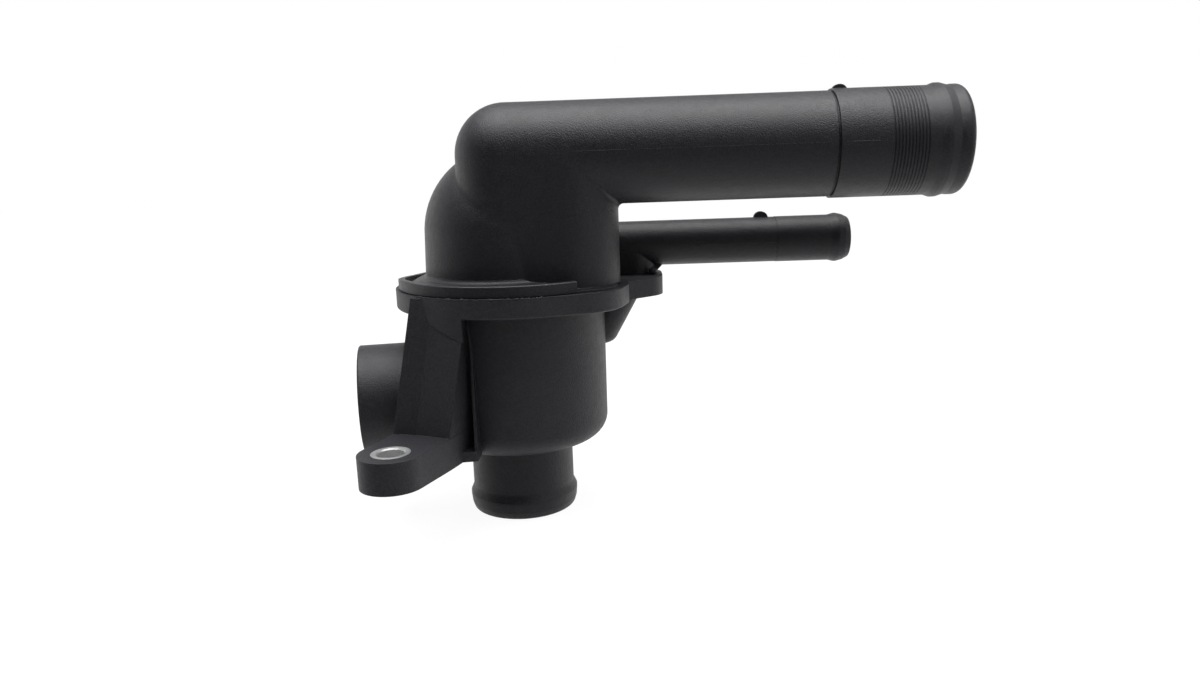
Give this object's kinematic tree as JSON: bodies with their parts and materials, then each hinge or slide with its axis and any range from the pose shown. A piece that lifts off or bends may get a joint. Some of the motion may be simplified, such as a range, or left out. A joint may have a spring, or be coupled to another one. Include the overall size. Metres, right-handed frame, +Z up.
{
  "type": "thermostat housing",
  "caption": "Black plastic engine coolant housing with a dome, a long hose outlet, a thin second pipe, a side socket, bolt lugs and a wax valve inside.",
  "frame": {"origin": "centre of the bottom spigot's mouth", "axes": "+Z up along the valve chamber's axis, +X along the outlet pipe away from the chamber, -Y towards the viewer of the picture"},
  "size_m": [0.2114, 0.1352, 0.1478],
  "materials": {
    "nylon_lower": "satin black glass-filled nylon",
    "nylon_upper": "satin black glass-filled nylon",
    "bush_metal": "bright cut metal",
    "seal_rubber": "matt black",
    "plate_steel": "pressed stainless sheet",
    "valve_brass": "turned brass",
    "wax": "soft copper-filled wax",
    "pin_steel": "ground steel",
    "spring_steel": "drawn spring wire"
  },
  "bodies": {
    "housing": {"lower_housing": "nylon_lower", "upper_housing": "nylon_upper", "front_bush": "bush_metal", "rear_bush": "bush_metal", "valve_plate": "plate_steel", "plate_seal": "seal_rubber", "upper_bridge": "plate_steel", "spring_frame": "plate_steel", "piston": "pin_steel", "main_spring": "spring_steel"},
    "valve": {"main_valve": "valve_brass", "capsule": "valve_brass", "capsule_cap": "valve_brass", "wax_charge": "wax", "rubber_boot": "seal_rubber", "bypass_stem": "pin_steel", "bypass_clip": "spring_steel", "bypass_spring": "spring_steel"},
    "bypass": {"bypass_disc": "plate_steel"},
    "jiggle": {"jiggle_pin": "pin_steel"}
  },
  "joints": [
    {"name": "valve_lift", "type": "slide", "parent": "housing", "child": "valve", "axis": [0, 0, -1], "range_m": [0, 0.008], "stiffness_N_per_m": 8000, "deforming": ["main_spring"]},
    {"name": "bypass_give", "type": "slide", "parent": "valve", "child": "bypass", "axis": [0, 0, 1], "range_m": [0, 0.0025], "stiffness_N_per_m": 1500, "deforming": ["bypass_spring"]},
    {"name": "jiggle_lift", "type": "slide", "parent": "housing", "child": "jiggle", "axis": [0, 0, 1], "range_m": [0, 0.0015]}
  ]
}
